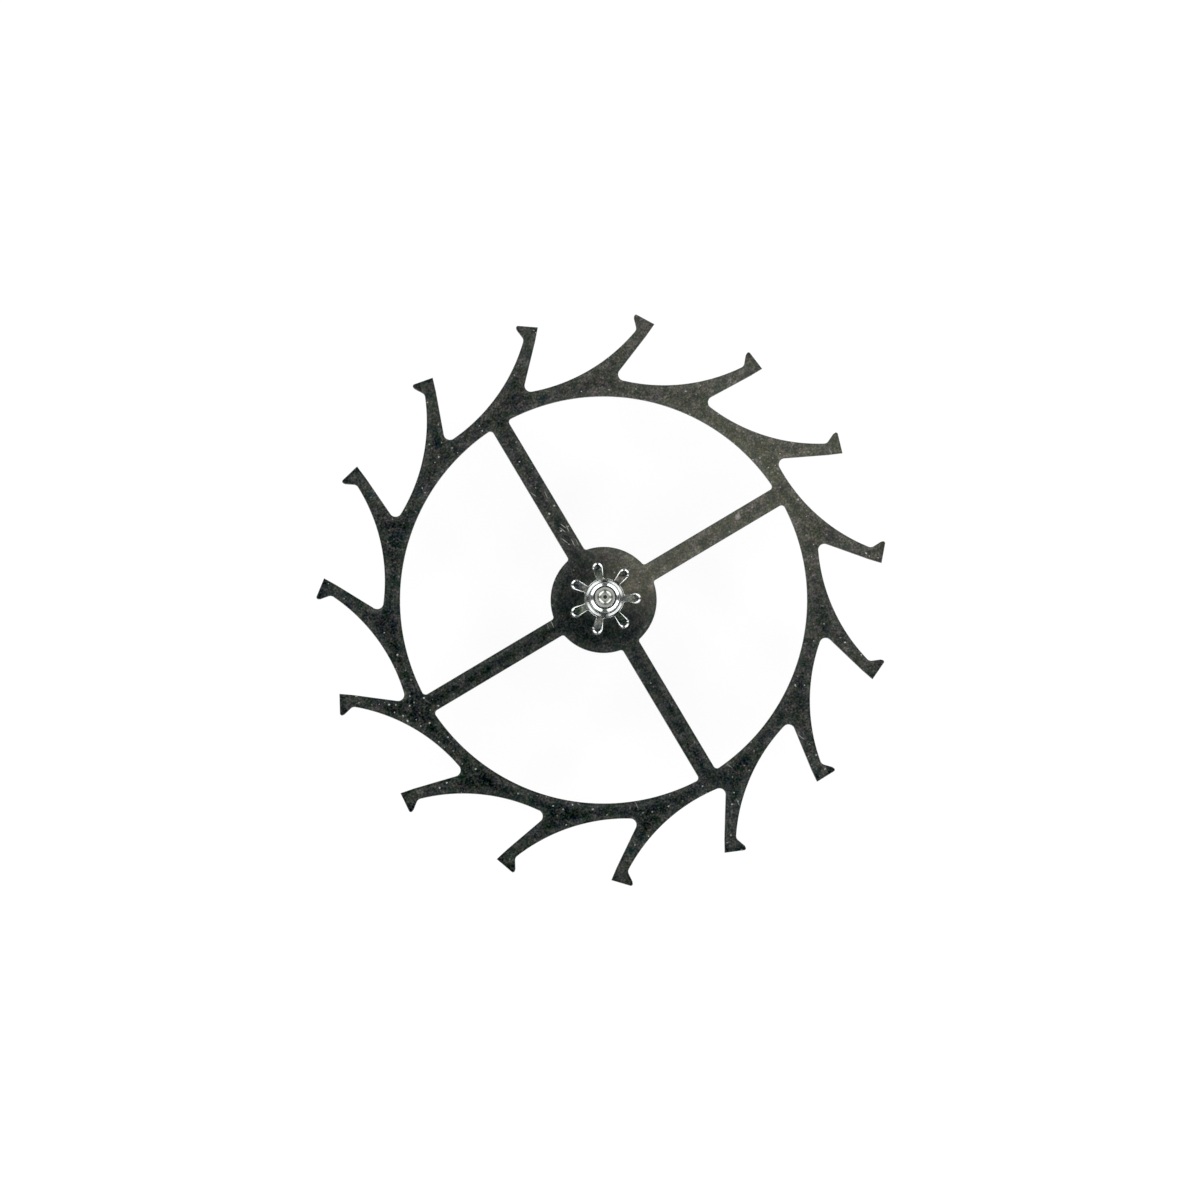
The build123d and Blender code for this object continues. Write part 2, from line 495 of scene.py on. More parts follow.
# %% [markdown]
# Tweezers pick the wheel up by an arm, and most of the scratches are at the foot of the
# second one. A scratch is a thin oval in a cell of a Voronoi pattern that is stretched
# along the scratch. Each cell has a random colour, which serves as a lottery ticket: only
# a few cells win a scratch, and more of them where the tweezers hold.

# %% Scratches
scratch_length = 0.08 * MM
scratch_width = 0.007 * MM  # real ones are finer: drawn as coarse as shows
scratch_spread = 4  # how far apart they lie, in lengths and in widths
scratch_directions = (84, 112)  # degrees from the first arm
grip_place = (0, 0.5 * MM, wheel_front * MM)
grip_core, grip_reach = 0.1 * MM, 0.22 * MM  # where scratches are at their most, and where they end
grip_share = 0.4  # of the cells there that have one
win_from = 0.97  # luck that wins a scratch: 3 in 100 away from the grip
scratch_colour = hex_colour("#9b9e9a")
print(f"scratches {scratch_length / MM:.3f} mm long, most of them {grip_place[1] / MM:.1f} mm from the axis")


def scratches(tree, place, direction):
    """A mask of short scratches that run one way."""
    stretch = add_node(tree, "ShaderNodeMapping", {
        "Vector": place, "Rotation": (0, 0, radians(direction)),
        "Scale": (scratch_spread * scratch_length, scratch_spread * scratch_width, 1)}, vector_type="TEXTURE")
    cells = add_node(tree, "ShaderNodeTexVoronoi", {"Vector": stretch, "Scale": 1}, voronoi_dimensions="2D")
    outline, core = 1 / (2 * scratch_spread), 1 / (4 * scratch_spread)
    oval = add_node(tree, "ShaderNodeMapRange", {
        "Value": cells.outputs["Distance"], "From Min": outline, "From Max": core})
    away = add_node(tree, "ShaderNodeVectorMath", {0: place, 1: grip_place}, operation="DISTANCE")
    grip = add_node(tree, "ShaderNodeMapRange", {
        "Value": away.outputs["Value"], "From Min": grip_core, "From Max": grip_reach,
        "To Min": grip_share, "To Max": 0})
    chance = add_node(tree, "ShaderNodeSeparateColor", {0: cells.outputs["Color"]})
    luck = add_node(tree, "ShaderNodeMath", {0: chance, 1: grip}, operation="ADD")
    lucky = add_node(tree, "ShaderNodeMapRange", {"Value": luck, "From Min": win_from})
    return add_node(tree, "ShaderNodeMath", {0: oval, 1: lucky}, operation="MULTIPLY")


# %% [markdown]
# Dust is done the same way, with a small disc in each lucky cell. A fine noise pushes
# the disc out of round. A wide noise gathers the dust in patches, and the rim gets more
# of it than the hub. Most grains are pale, and a few have the brown of polishing rouge.

# %% Dust
speck_spacing = 0.065 * MM
speck_radius = 0.01 * MM  # real dust is finer: drawn as coarse as shows
smallest_share = 0.25  # of that radius, which only the largest have
core_share = 0.5  # of a speck's own radius, inside which it hides the steel
ragged_share = 1.5  # of the largest radius: how far an outline strays
patch_size = 0.7 * MM
patch_share, rim_share = 1.6, 0.2  # how much luck a patch and the rim bring
win_low, win_high = 1.62, 1.94  # no dust below this luck, and all of it above
rouge_from, rouge_to = 0.7, 0.8  # of another ticket: pale below the first, and all rouge above the second
pale_dust, rouge_dust = hex_colour("#a7aca6"), hex_colour("#8a766b")
print(f"dust from {smallest_share * speck_radius / MM:.4f} to {speck_radius / MM:.3f} mm in radius")


def specks(tree, place, towards_rim):
    """A mask of dust specks, and their colour."""
    wobble = add_node(tree, "ShaderNodeTexNoise", {"Vector": place, "Scale": 1 / speck_radius})
    strays = (ragged_share * speck_radius,) * 3
    ragged = add_node(tree, "ShaderNodeVectorMath", {
        0: wobble.outputs["Color"], 1: strays, 2: place}, operation="MULTIPLY_ADD")
    cells = add_node(tree, "ShaderNodeTexVoronoi", {
        "Vector": ragged, "Scale": 1 / speck_spacing}, voronoi_dimensions="2D")
    chance = add_node(tree, "ShaderNodeSeparateColor", {0: cells.outputs["Color"]})
    size = add_node(tree, "ShaderNodeMapRange", {
        "Value": chance.outputs[2], "To Min": smallest_share * speck_radius / speck_spacing,
        "To Max": speck_radius / speck_spacing})
    core = add_node(tree, "ShaderNodeMath", {0: size, 1: core_share}, operation="MULTIPLY")
    disc = add_node(tree, "ShaderNodeMapRange", {
        "Value": cells.outputs["Distance"], "From Min": size, "From Max": core})
    patch = add_node(tree, "ShaderNodeTexNoise", {"Vector": place, "Scale": 1 / patch_size})
    luck = add_node(tree, "ShaderNodeMath", {0: patch, 1: patch_share, 2: chance}, operation="MULTIPLY_ADD")
    luck = add_node(tree, "ShaderNodeMath", {0: towards_rim, 1: rim_share, 2: luck}, operation="MULTIPLY_ADD")
    lucky = add_node(tree, "ShaderNodeMapRange", {"Value": luck, "From Min": win_low, "From Max": win_high})
    rouge = add_node(tree, "ShaderNodeMapRange", {
        "Value": chance.outputs[1], "From Min": rouge_from, "From Max": rouge_to})
    dust = add_node(tree, "ShaderNodeMix", {
        "Factor": rouge, "A": pale_dust, "B": rouge_dust}, data_type="RGBA")
    return add_node(tree, "ShaderNodeMath", {0: disc, 1: lucky}, operation="MULTIPLY"), dust.outputs["Result"]


# %% [markdown]
# One drop of cleaning fluid has dried on the lightest arm, and left a small pale disc
# with a paler middle.

# %% Dried drop
drop_place = (1.264 * MM, 0.022 * MM, wheel_front * MM)
drop_radius = 0.026 * MM
disc_full = 0.7 * drop_radius  # from here in, the disc is as strong as it gets
middle_starts, middle_full = 0.4 * drop_radius, 0.1 * drop_radius
drop_share = 0.5  # of the fluid's colour over the steel's, and as much again in the middle
dried_fluid = hex_colour("#a39b99")
print(f"a drop {2 * drop_radius / MM:.3f} mm across, {drop_place[0] / MM:.2f} mm from the axis")


def dried_drop(tree, place):
    """A mask of one drop: faint out to its rim, and stronger in the middle."""
    away = add_node(tree, "ShaderNodeVectorMath", {0: place, 1: drop_place}, operation="DISTANCE")
    disc = add_node(tree, "ShaderNodeMapRange", {
        "Value": away.outputs["Value"], "From Min": drop_radius, "From Max": disc_full, "To Max": drop_share})
    middle = add_node(tree, "ShaderNodeMapRange", {
        "Value": away.outputs["Value"], "From Min": middle_starts, "From Max": middle_full,
        "To Max": drop_share})
    return add_node(tree, "ShaderNodeMath", {0: disc, 1: middle}, operation="ADD")


# %% [markdown]
# A painted reflection, laid in as a film of tempering, turns the steel from its painted
# dark blue-black to olive on the side of one arm. How far round a point lies decides its
# colour, and a wide noise breaks the change up.

# %% Painted reflection on the wheel's faces
# Where the painted reflection is lightest, what it turns about, and how far it runs ahead of its side at the
# hub and at the rim.
reflection_side = 19  # degrees from the first arm
reflection_centre = (-0.005 * MM, -0.075 * MM, 0)  # what the film turns about
cloud_share = 0.4  # how far the wide noise shifts the film
hub_lead, rim_lead = 0.06, -0.04  # how far the film runs ahead of its side at the hub and at the rim
painted_reflection_stops = [
    (0.05, "#1b201e"), (0.35, "#232726"), (0.65, "#2d2f2d"), (0.74, "#333532"), (0.82, "#40403b"),
    (0.9, "#4d4d45"), (1.0, "#605f54")]
print(f"film in {len(painted_reflection_stops)} shades, lightest {reflection_side} degrees from the first arm")


def painted_reflection_colour(tree, place, towards_rim):
    """The steel's colour, painted dark, with a painted reflection that turns it olive on one side of the
    wheel.
    """
    out = add_node(tree, "ShaderNodeVectorMath", {0: place, 1: reflection_centre}, operation="SUBTRACT")
    flat = add_node(tree, "ShaderNodeVectorMath", {0: out, 1: (1, 1, 0)}, operation="MULTIPLY")
    unit = add_node(tree, "ShaderNodeVectorMath", {0: flat}, operation="NORMALIZE")
    side = add_node(tree, "ShaderNodeVectorMath", {
        0: unit, 1: (*ray(reflection_side), 0)}, operation="DOT_PRODUCT")
    cloud = add_node(tree, "ShaderNodeTexNoise", {"Vector": place, "Scale": 1 / patch_size, "Detail": 3})
    lead = add_node(tree, "ShaderNodeMapRange", {
        "Value": towards_rim, "To Min": hub_lead, "To Max": rim_lead})
    patchy = add_node(tree, "ShaderNodeMath", {0: cloud, 1: cloud_share, 2: lead}, operation="MULTIPLY_ADD")
    reflection_shift = add_node(tree, "ShaderNodeMath", {0: side.outputs["Value"], 1: patchy}, operation="ADD")
    level = add_node(tree, "ShaderNodeMapRange", {"Value": reflection_shift, "From Min": -1, "From Max": 1 + cloud_share})
    return add_node(tree, "ShaderNodeValToRGB", {0: level}, stops=painted_reflection_stops)


# %% [markdown]
# The lap also rounds the wheel off a little. Along every edge the last hundredths of a
# millimetre get a painted highlight, and the very last are dark again. Ambient occlusion
# measured inside the metal finds them: there, rays soon meet a wall.

# %% Painted edge highlight
edge_reach = 0.08 * MM
edge_highlight = (0.0245, 0.0262, 0.0225)  # red, green and blue, added where the edge is lightest
at_wall, at_lightest, far_inside = 0.52, 0.65, 1  # share of the rays that get away
# The painted edge highlight reaches this far in.
print(f"edges worn up to {edge_reach / MM:.2f} mm in")


def paint_edge_highlight(tree, colour):
    """The colour, with a painted highlight along the edges of the face."""
    depth = add_node(tree, "ShaderNodeAmbientOcclusion", {
        "Distance": edge_reach}, inside=True, only_local=True)
    near = add_node(tree, "ShaderNodeMapRange", {
        "Value": depth.outputs["AO"], "From Min": at_lightest, "From Max": far_inside,
        "To Min": 1, "To Max": 0})
    not_last = add_node(tree, "ShaderNodeMapRange", {
        "Value": depth.outputs["AO"], "From Min": at_wall, "From Max": at_lightest})
    edge = add_node(tree, "ShaderNodeMath", {0: near, 1: not_last}, operation="MULTIPLY")
    return add_node(tree, "ShaderNodeVectorMath", {
        0: edge, 1: edge_highlight, 2: colour}, operation="MULTIPLY_ADD")


# %% [markdown]
# The layers are now laid over each other: the painted dark colour and painted
# reflection, the painted edge highlight and the grain, then the drop, the scratches and
# the dust on top. Dust isn't metal, so it takes the shine away.

# %% Lapped steel
inner, outer = 0.3 * MM, 1.8 * MM  # distances from the axis between which grain and dust get stronger
hub_grain, rim_grain = 0.008, 0.0145
bump_strength, bump_depth = 0.08, 0.002 * MM
noise_low, noise_high = 0.3, 0.7  # a noise seldom strays past these
lapped_smooth, lapped_rough = 0.16, 0.26


def make_lapped_steel():
    material, tree, place = new_material("lapped_carbon_steel")
    towards_rim = add_node(tree, "ShaderNodeMapRange", {
        "Value": distance_from_axis(tree, place), "From Min": inner, "From Max": outer})
    strength = add_node(tree, "ShaderNodeMapRange", {
        "Value": towards_rim, "To Min": hub_grain, "To Max": rim_grain})
    # The painted dark colour and painted reflection, with the painted edge highlight over them.
    edge_highlighted = paint_edge_highlight(tree, painted_reflection_colour(tree, place, towards_rim))
    grained = add_grain(tree, edge_highlighted, place, strength)
    one_way, other_way = [scratches(tree, place, direction) for direction in scratch_directions]
    lines = add_node(tree, "ShaderNodeMath", {0: one_way, 1: other_way}, operation="MAXIMUM")
    marked = add_node(tree, "ShaderNodeMix", {
        "Factor": dried_drop(tree, place), "A": grained, "B": dried_fluid}, data_type="RGBA")
    scratched = add_node(tree, "ShaderNodeMix", {
        "Factor": lines, "A": marked.outputs["Result"], "B": scratch_colour}, data_type="RGBA")
    speck, dust = specks(tree, place, towards_rim)
    dusty = add_node(tree, "ShaderNodeMix", {
        "Factor": speck, "A": scratched.outputs["Result"], "B": dust}, data_type="RGBA")
    bare = add_node(tree, "ShaderNodeMath", {0: 1, 1: speck}, operation="SUBTRACT")
    grain = add_node(tree, "ShaderNodeTexNoise", {"Vector": place, "Scale": 1 / grain_size})
    rough = add_node(tree, "ShaderNodeMapRange", {
        "Value": grain, "From Min": noise_low, "From Max": noise_high,
        "To Min": lapped_smooth, "To Max": lapped_rough})
    relief = add_node(tree, "ShaderNodeBump", {
        "Height": grain, "Strength": bump_strength, "Distance": bump_depth})
    shader = add_node(tree, "ShaderNodeBsdfPrincipled", {
        "Base Color": dusty.outputs["Result"], "Metallic": bare, "Roughness": rough, "Normal": relief})
    add_node(tree, "ShaderNodeOutputMaterial", {"Surface": shader})
    return material


lapped_steel = make_lapped_steel()
print(f"{lapped_steel.name}: {len(lapped_steel.node_tree.nodes)} nodes")

# %% [markdown]
# ## Milled edge, for the walls of the wheel
#
# The teeth are cut by a fly cutter and the windows are blanked, so the wall of the wheel
# is plain grey steel with fine lines across its thickness. A noise squeezed very
# narrow round the rim, and left long along the axis, gives those lines.

# %% Milled edge
cut_width = 0.012 * MM  # real cutter marks are finer: drawn as coarse as shows
cut_length = 0.3 * MM
cut_depth = 0.001 * MM
cut_strength = 0.3
milled_roughness = 0.36


def make_milled_edge():
    material, tree, place = new_material("milled_steel_edge")
    squeeze = add_node(tree, "ShaderNodeMapping", {
        "Vector": place, "Scale": (1 / cut_width, 1 / cut_width, 1 / cut_length)})
    cuts = add_node(tree, "ShaderNodeTexNoise", {"Vector": squeeze, "Scale": 1, "Detail": 3})
    tint = add_node(tree, "ShaderNodeValToRGB", {0: cuts}, stops=[
        (0.3, "#565959"), (0.55, "#666969"), (0.75, "#7e8180")])
    relief = add_node(tree, "ShaderNodeBump", {
        "Height": cuts, "Strength": cut_strength, "Distance": cut_depth})
    shader = add_node(tree, "ShaderNodeBsdfPrincipled", {
        "Base Color": tint, "Metallic": 1, "Roughness": milled_roughness, "Normal": relief})
    add_node(tree, "ShaderNodeOutputMaterial", {"Surface": shader})
    return material


milled_edge = make_milled_edge()
print(f"{milled_edge.name}: marks {cut_width / MM:.3f} mm wide")

# %% [markdown]
# ## The toothed wheel
#
# The wheel is one flat blank: the toothed rim outside, four windows and the countersunk
# hole inside. Every edge is broken by a few microns, as polishing leaves it, and that
# thin round edge is what picks the outline out against a dark face.

# %% Build the wheel
edge_round = 0.004  # mm, of every edge that shows
hole_radius = 0.15
rivet_flare = 0.03  # width and depth of the countersink
round_points = 96  # once round a hole, and round everything turned

wheel_levels = broken_edge(wheel_back, edge_round, 1) + broken_edge(wheel_front, edge_round, -1)[::-1]
hole_levels = [(wheel_back, rivet_flare), (wheel_back + rivet_flare, 0), (wheel_front, 0)]
LAPPED, MILLED = 0, 1

mesh = bmesh.new()
rims = [wall(mesh, outline, wheel_levels, MILLED) for outline in [toothed_rim, *windows]]
rims.append(wall(mesh, circle(hole_radius, round_points), hole_levels, MILLED))
cap(mesh, [back for back, _ in rims], LAPPED)
cap(mesh, [front for _, front in rims], LAPPED)
wheel = make_piece(mesh, "wheel_blank", [lapped_steel, milled_edge])

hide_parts("escape_wheel")
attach(wheel, "root")

# %% [markdown]
# ## Burnished steel, for what is turned
#
# Pivots, arbor and shoulders are turned and then burnished, which presses the steel
# smooth instead of cutting it. The finish is the brightest on the object, with very
# fine rings left by the turning. A noise along the radius and the height together puts
# a ring at every step of either, so that one pattern serves flat and upright faces.
# The burnisher only runs along the sides, so the rounded ends of the pivots are duller.

# %% Burnished steel
turning_pitch = 0.012 * MM  # real turning lines are finer: drawn as coarse as shows
turning_depth = 0.0006 * MM
turning_strength = 0.25
blotch_part = 0.5  # of the pattern, with rings for the rest
blend_low, blend_high = 0.35, 0.65  # two noises together stray less than one
side_smooth, side_rough = 0.11, 0.2
end_rougher = 0.11  # added to that on the ends
end_dull = 0.5  # how much of the ends' duller colour shows
pivot_radius = 0.078
soft_corner = 0.005


def make_burnished_steel():
    material, tree, place = new_material("burnished_steel")
    height = add_node(tree, "ShaderNodeSeparateXYZ", {0: place}).outputs["Z"]
    radius = distance_from_axis(tree, place)
    along = add_node(tree, "ShaderNodeMath", {0: radius, 1: height}, operation="ADD")
    wobble = add_node(tree, "ShaderNodeTexNoise", {"Vector": place, "Scale": 1 / blotch_size})
    step = add_node(tree, "ShaderNodeMath", {
        0: along, 1: 1 / turning_pitch, 2: wobble}, operation="MULTIPLY_ADD")
    rings = add_node(tree, "ShaderNodeTexNoise", {"W": step, "Scale": 1}, noise_dimensions="1D")
    blend = add_node(tree, "ShaderNodeMix", {
        "Factor": blotch_part, "A": rings, "B": wobble}, data_type="FLOAT")
    tint = add_node(tree, "ShaderNodeValToRGB", {0: blend}, stops=[
        (blend_low, "#979a99"), (0.5, "#bcbebd"), (blend_high, "#cfd1d0")])
    relief = add_node(tree, "ShaderNodeBump", {
        "Height": rings, "Strength": turning_strength, "Distance": turning_depth})
    end = add_node(tree, "ShaderNodeMapRange", {
        "Value": radius, "From Min": (pivot_radius - soft_corner) * MM, "From Max": pivot_radius * MM,
        "To Min": 1, "To Max": 0})
    dull = add_node(tree, "ShaderNodeMath", {0: end, 1: end_dull}, operation="MULTIPLY")
    dulled = add_node(tree, "ShaderNodeMix", {
        "Factor": dull, "A": tint, "B": hex_colour("#8f9282")}, data_type="RGBA")
    sides = add_node(tree, "ShaderNodeMapRange", {
        "Value": blend, "From Min": blend_low, "From Max": blend_high,
        "To Min": side_smooth, "To Max": side_rough})
    rough = add_node(tree, "ShaderNodeMath", {0: end, 1: end_rougher, 2: sides}, operation="MULTIPLY_ADD")
    shader = add_node(tree, "ShaderNodeBsdfPrincipled", {
        "Base Color": dulled.outputs["Result"], "Metallic": 1, "Roughness": rough, "Normal": relief})
    add_node(tree, "ShaderNodeOutputMaterial", {"Surface": shader})
    return material


burnished_steel = make_burnished_steel()
print(f"{burnished_steel.name}: a ring every {turning_pitch / MM:.3f} mm")

# %% [markdown]
# ## Polished leaves
#
# The flanks of the leaves are polished lengthwise with a wooden disc, so their faint
# lines run along the axis.

# %% Leaf flanks
polish_width = 0.01 * MM  # real polishing lines are finer: drawn as coarse as shows
polish_length = 0.5 * MM
polish_depth = 0.0006 * MM
polish_strength = 0.2
flank_smooth, flank_rough = 0.16, 0.28


def make_leaf_flank():
    material, tree, place = new_material("wood_polished_steel")
    squeeze = add_node(tree, "ShaderNodeMapping", {
        "Vector": place, "Scale": (1 / polish_width, 1 / polish_width, 1 / polish_length)})
    lines = add_node(tree, "ShaderNodeTexNoise", {"Vector": squeeze, "Scale": 1})
    tint = add_node(tree, "ShaderNodeValToRGB", {0: lines}, stops=[
        (noise_low, "#8a8d8c"), (noise_high, "#b4b7b6")])
    relief = add_node(tree, "ShaderNodeBump", {
        "Height": lines, "Strength": polish_strength, "Distance": polish_depth})
    rough = add_node(tree, "ShaderNodeMapRange", {
        "Value": lines, "From Min": noise_low, "From Max": noise_high,
        "To Min": flank_smooth, "To Max": flank_rough})
    shader = add_node(tree, "ShaderNodeBsdfPrincipled", {
        "Base Color": tint, "Metallic": 1, "Roughness": rough, "Normal": relief})
    add_node(tree, "ShaderNodeOutputMaterial", {"Surface": shader})
    return material


leaf_flank = make_leaf_flank()
print(f"{leaf_flank.name}: lines {polish_width / MM:.3f} mm wide")

# %% [markdown]
# The upper leaf faces are polished flat, like the wheel, and are painted nearly as dark,
# a painted dark reflection, each leaf a little different. A painted dark reflection
# darkens them further inside the leaf tips, and painted shade in the corner at the
# pivot's foot.

# %% Leaf faces
leaf_cloud_size = 0.12 * MM
leaf_grain = 0.03
# Where the painted dark reflection inside the tips and the painted shade at the pivot's foot begin and are
# full, and how strongly their dark colour lies over the steel's.
tip_shade_starts, tip_shade_full = 0.2 * MM, 0.25 * MM  # from the axis, going out
foot_shade_starts, foot_shade_full = 0.12 * MM, 0.1 * MM  # from the axis, going in
shade_share = 0.7  # of the oil's colour over the steel's
painted_shade_colour = hex_colour("#1d2323")
leaf_roughness = 0.26


def make_leaf_face():
    material, tree, place = new_material("flat_polished_steel")
    cloud = add_node(tree, "ShaderNodeTexNoise", {"Vector": place, "Scale": 1 / leaf_cloud_size})
    tint = add_node(tree, "ShaderNodeValToRGB", {0: cloud}, stops=[
        (0.36, "#272c2c"), (0.5, "#4b4d47"), (0.64, "#6d716a")])
    radius = distance_from_axis(tree, place)
    # Painted dark reflection towards the tips, painted shade towards the pivot's foot.
    in_tip = add_node(tree, "ShaderNodeMapRange", {
        "Value": radius, "From Min": tip_shade_starts, "From Max": tip_shade_full})
    at_foot = add_node(tree, "ShaderNodeMapRange", {
        "Value": radius, "From Min": foot_shade_starts, "From Max": foot_shade_full})
    shaded_place = add_node(tree, "ShaderNodeMath", {0: in_tip, 1: at_foot}, operation="MAXIMUM")
    shade_amount = add_node(tree, "ShaderNodeMath", {0: shaded_place, 1: shade_share}, operation="MULTIPLY")
    stain_and_shade = add_node(tree, "ShaderNodeMix", {"Factor": shade_amount, "A": tint, "B": painted_shade_colour}, data_type="RGBA")
    grained = add_grain(tree, stain_and_shade.outputs["Result"], place, (leaf_grain,) * 3)
    grain = add_node(tree, "ShaderNodeTexNoise", {"Vector": place, "Scale": 1 / grain_size})
    relief = add_node(tree, "ShaderNodeBump", {
        "Height": grain, "Strength": bump_strength, "Distance": bump_depth})
    shader = add_node(tree, "ShaderNodeBsdfPrincipled", {
        "Base Color": grained, "Metallic": 1, "Roughness": leaf_roughness, "Normal": relief})
    add_node(tree, "ShaderNodeOutputMaterial", {"Surface": shader})
    return material


leaf_top = make_leaf_face()
print(f"{leaf_top.name}: clouds of {leaf_cloud_size / MM:.2f} mm")

# %% [markdown]
# ## Outline of the leaves
#
# A leaf has straight flanks that point at the axis and a half-round tip, with a small
# fillet at its root. One side is worked out, and the other is the same with the angles
# turned over.

# %% Sizes and outline of the leaves
leaf_root_circle = 0.158
leaf_circle = 0.291
leaf_count = 7
leaf_turn = 20.6  # from the first arm round to the nearest leaf
leaf_half_angle = 9.5  # seen from the axis
leaf_root_fillet = 0.014
leaf_tip_step = 6  # degrees from point to point


def leaf_side(turn, side):
    """One side of a leaf, from the root circle to the crown. side is 1 for the anticlockwise side."""
    flank = turn + side * leaf_half_angle
    reach = leaf_root_circle + leaf_root_fillet
    fillet = ray(flank + side * degrees(asin(leaf_root_fillet / reach))) * reach
    on_flank = ray(flank) * sqrt(reach**2 - leaf_root_fillet**2)
    tip_centre = leaf_circle / (1 + sin(radians(leaf_half_angle)))
    tip_start = ray(flank) * (tip_centre * cos(radians(leaf_half_angle)))
    root = arc(fillet, fillet.normalized() * leaf_root_circle, on_flank, corner_step)
    return root + arc(ray(turn) * tip_centre, tip_start, ray(turn) * leaf_circle, leaf_tip_step)


leaf_outline = []
for leaf in range(leaf_count):
    turn = leaf_turn - leaf * 360 / leaf_count
    leaf_outline += leaf_side(turn, 1) + leaf_side(turn, -1)[-2::-1]
    next_root = leaf_side(turn - 360 / leaf_count, 1)[0]
    leaf_outline += arc(CENTRE, leaf_outline[-1], next_root)[1:-1]
print(f"{leaf_count} leaves, {len(leaf_outline)} points")

# %% [markdown]
# ## Turned profiles
#
# Everything else on the pinion is round. Its profile is a list of radius, height and
# the rounding of that corner, and the mesh is that profile spun about the axis. A
# pivot ends in a low dome, so that it touches its cap jewel at one point only.

# %% Domes, rounded corners and spinning
pivot_dome = 0.045  # height of a pivot's rounded end
dome_steps = 12
turned_step = 12  # degrees from point to point on a rounded corner


def dome(tip, direction):
    """A pivot's rounded end, from the axis out. direction is 1 for an end that points down."""
    ball = (pivot_radius**2 + pivot_dome**2) / (2 * pivot_dome)
    widest = degrees(asin(pivot_radius / ball))
    turns = [radians(widest * i / dome_steps) for i in range(dome_steps)]
    points = [(ball * sin(a), tip + direction * ball * (1 - cos(a)), 0) for a in turns]
    return points + [(pivot_radius, tip + direction * pivot_dome, soft_corner)]


def round_off(profile):
    """Replaces each corner of a profile that has a rounding by its arc, held at both ends."""
    corners = [Vector(corner[:2]) for corner in profile]
    points = [corners[0]]
    for i in range(1, len(corners) - 1):
        back, ahead = (corners[i - 1] - corners[i]).normalized(), (corners[i + 1] - corners[i]).normalized()
        radius = profile[i][2]
        if radius:
            bend = rounded(corners[i], back, ahead, radius, turned_step)
            points += [bend[0] + back * hold, *bend, bend[-1] + ahead * hold]
        else:
            points.append(corners[i])
    return points + [corners[-1]]


def spin(mesh, profile, material):
    """Spins a profile about the axis, and returns its first and last ring."""
    rings = [add_ring(mesh, circle(point.x, round_points), point.y) for point in round_off(profile)]
    for lower, upper in zip(rings, rings[1:]):
        join_rings(mesh, lower, upper, material)
    return rings[0], rings[-1]


print(f"{len(dome(0, 1))} points to a pivot's dome")

# %% [markdown]
# The lower profile runs from the lower pivot's end up to the front of the wheel. On its
# way it spreads into the countersink behind the wheel, which is what rivets the two
# together. The upper one starts in the hollow that is turned round the arbor's foot.
# Corners that show have a small rounding, because a perfectly sharp one never catches
# the light.

# %% Profiles of the turned parts
arbor_radius = 0.118
shoulder_width, shoulder_drop = 0.024, 0.013  # of the slope round each shoulder
shoulder_round = 0.003
sink_width, sink_floor_width, sink_depth = 0.03, 0.01, 0.0106  # of the hollow round the arbor's foot
sink_round = 0.002
arbor_round = 0.008
rivet_stand = 0.015  # how far the spread edge stands behind the wheel
rivet_round = 0.01
pivot_length = 0.23
leaf_length = 0.85

lower_shoulder = 0
upper_shoulder = upper_tip - pivot_length
leaf_face = wheel_front + leaf_length

lower_profile = [
    *dome(lower_tip, 1),
    (pivot_radius, lower_shoulder, shoulder_round),
    (arbor_radius - shoulder_width, lower_shoulder, shoulder_round),
    (arbor_radius, lower_shoulder + shoulder_drop, shoulder_round),
    (arbor_radius, wheel_back - rivet_stand, soft_corner),
    (hole_radius + rivet_flare, wheel_back - rivet_stand, rivet_round),
    (hole_radius + rivet_flare, wheel_back, 0),
    (hole_radius, wheel_back + rivet_flare, 0),
    (hole_radius, wheel_front, 0),
]
upper_profile = [
    (arbor_radius + sink_width, leaf_face, 0),
    (arbor_radius + sink_floor_width, leaf_face - sink_depth, sink_round),
    (arbor_radius, leaf_face - sink_depth, sink_round),
    (arbor_radius, upper_shoulder - shoulder_drop, arbor_round),
    (arbor_radius - shoulder_width, upper_shoulder, shoulder_round),
    (pivot_radius, upper_shoulder, shoulder_round),
    *dome(upper_tip, -1)[::-1],
]
print(f"profiles of {len(lower_profile)} and {len(upper_profile)} corners")
print(f"leaf faces at {leaf_face:.3f} mm, upper shoulder at {upper_shoulder:.3f} mm")

# %% [markdown]
# The leaves' top edge is polished down to a bevel, wider round the tips, because it is
# there that the photograph shows white crescents. It leans 28 degrees, which turns it
# towards the soft boxes, and steepens where it meets the flank.

# %% Bevel of the leaves
bevel_width = 0.016  # round the tips
bevel_shares = [(0, 0.6), (0.15, 0.45), (0.2, 0.4235), (1, 0)]  # in from the flank, and down from the face
flank_share = 0.16  # how much of the width is left along the flanks
widen_from, widen_over = 0.6, 0.15  # of a leaf's height, where the bevel starts to widen, and how quickly


def edge_share(point):
    """The bevel's width beside a point of the outline, as a share of that at the tips."""
    outwards = (point.length - leaf_root_circle) / (leaf_circle - leaf_root_circle)
    return flank_share + (1 - flank_share) * min(max((outwards - widen_from) / widen_over, 0), 1)


edge_shares = [edge_share(point) for point in leaf_outline]
print(f"bevel from {bevel_width * min(edge_shares):.4f} to {bevel_width * max(edge_shares):.3f} mm wide")

# %% [markdown]
# ## The pinion
#
# On the real one the leaves, arbor and pivots are a single piece of steel, so here
# they are one closed mesh: the leaf walls, a flat face above and below, and a turned
# part spun out of each face. Faces square to the axis get the dark flat polish's
# material, its darkness a painted dark reflection, which is why the shoulder is a dark
# ring.

# %% Build the pinion
flat_enough = 0.99  # of a face's normal along the axis: shoulders and the very ends of the pivots
BURNISHED, FLANK, TOP = 0, 1, 2

